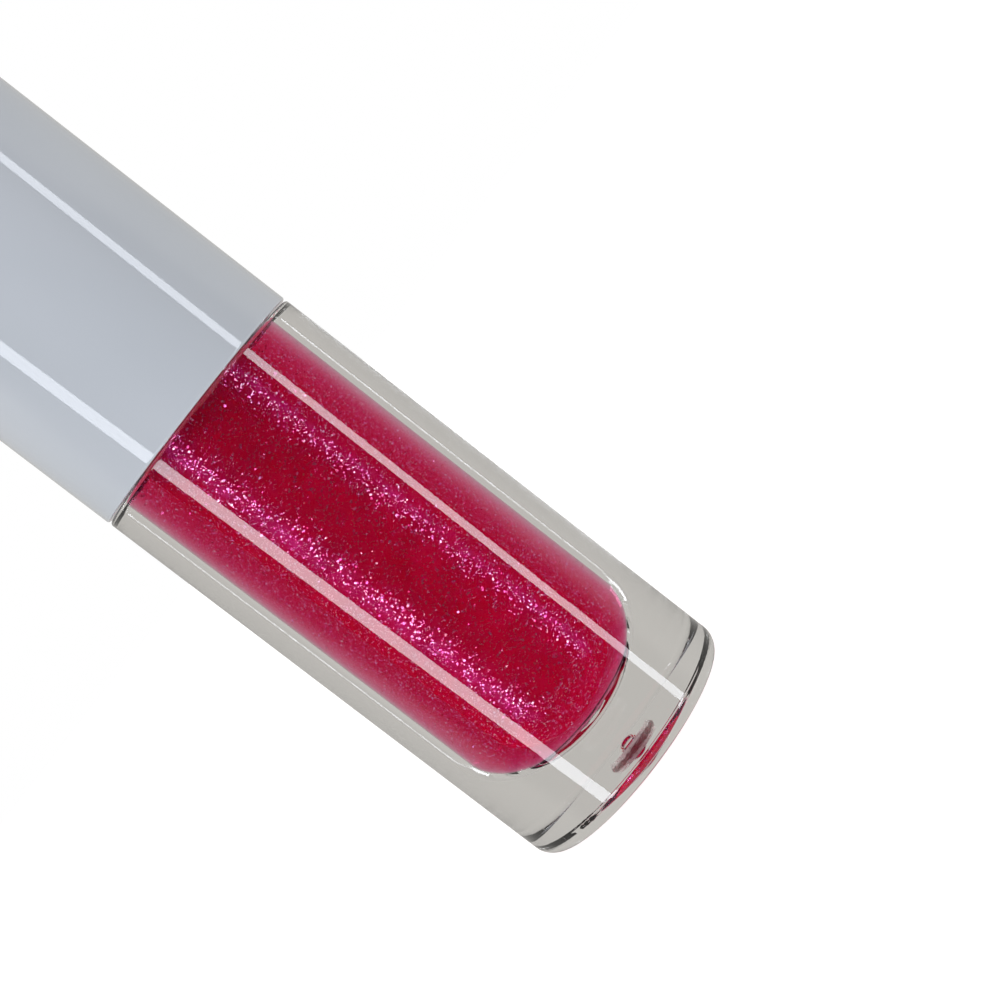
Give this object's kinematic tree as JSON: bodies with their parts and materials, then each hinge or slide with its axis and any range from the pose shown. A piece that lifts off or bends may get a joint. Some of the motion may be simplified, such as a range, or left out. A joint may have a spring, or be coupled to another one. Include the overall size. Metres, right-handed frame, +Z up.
{
  "type": "lip gloss tube",
  "caption": "Round lip gloss tube: a clear thick-walled bottle of glittering deep red gloss, closed by a pale grey screw cap that carries a flocked wand through a wiper.",
  "frame": {"origin": "centre of the bottle's standing ring, on the surface that the tube stands on", "axes": "+Z up along the tube, from the bottle's base to the cap's top; the wand's slanted face looks towards -X with the cap on"},
  "size_m": [0.019, 0.019, 0.0835],
  "materials": {
    "clear_plastic": "clear, polished",
    "wiper_plastic": "soft, translucent white",
    "lip_gloss": "deep red liquid with fine glitter",
    "gasket_foam": "closed-cell foam",
    "cap_plastic": "polished pale cool grey",
    "insert_plastic": "satin white",
    "rod_plastic": "polished white",
    "tip_rubber": "soft",
    "flock": "short fibres, wet with gloss"
  },
  "bodies": {
    "bottle": {"bottle": "clear_plastic", "wiper": "wiper_plastic"},
    "gloss": {"gloss": "lip_gloss"},
    "gasket": {"gasket": "gasket_foam"},
    "cap": {"cap_shell": "cap_plastic", "cap_insert": "insert_plastic", "wand_stem": "rod_plastic", "applicator_core": "tip_rubber", "applicator_flock": "flock"}
  },
  "joints": [
    {"name": "cap_turn", "type": "hinge", "parent": "bottle", "child": "gloss", "pos_m": [0, 0, 0], "axis": [0, 0, 1], "range_deg": [0, 450]},
    {"name": "wand_withdraw", "type": "slide", "parent": "gloss", "child": "gasket", "axis": [0, 0, 1], "range_m": [0, 0.05]},
    {"name": "cap_rise", "type": "slide", "parent": "gasket", "child": "cap", "axis": [0, 0, 1], "range_m": [0, 0.0026]}
  ],
  "couplings": [
    {"joint": "cap_rise", "follows": "cap_turn", "m_per_rad": 0.00031831}
  ]
}
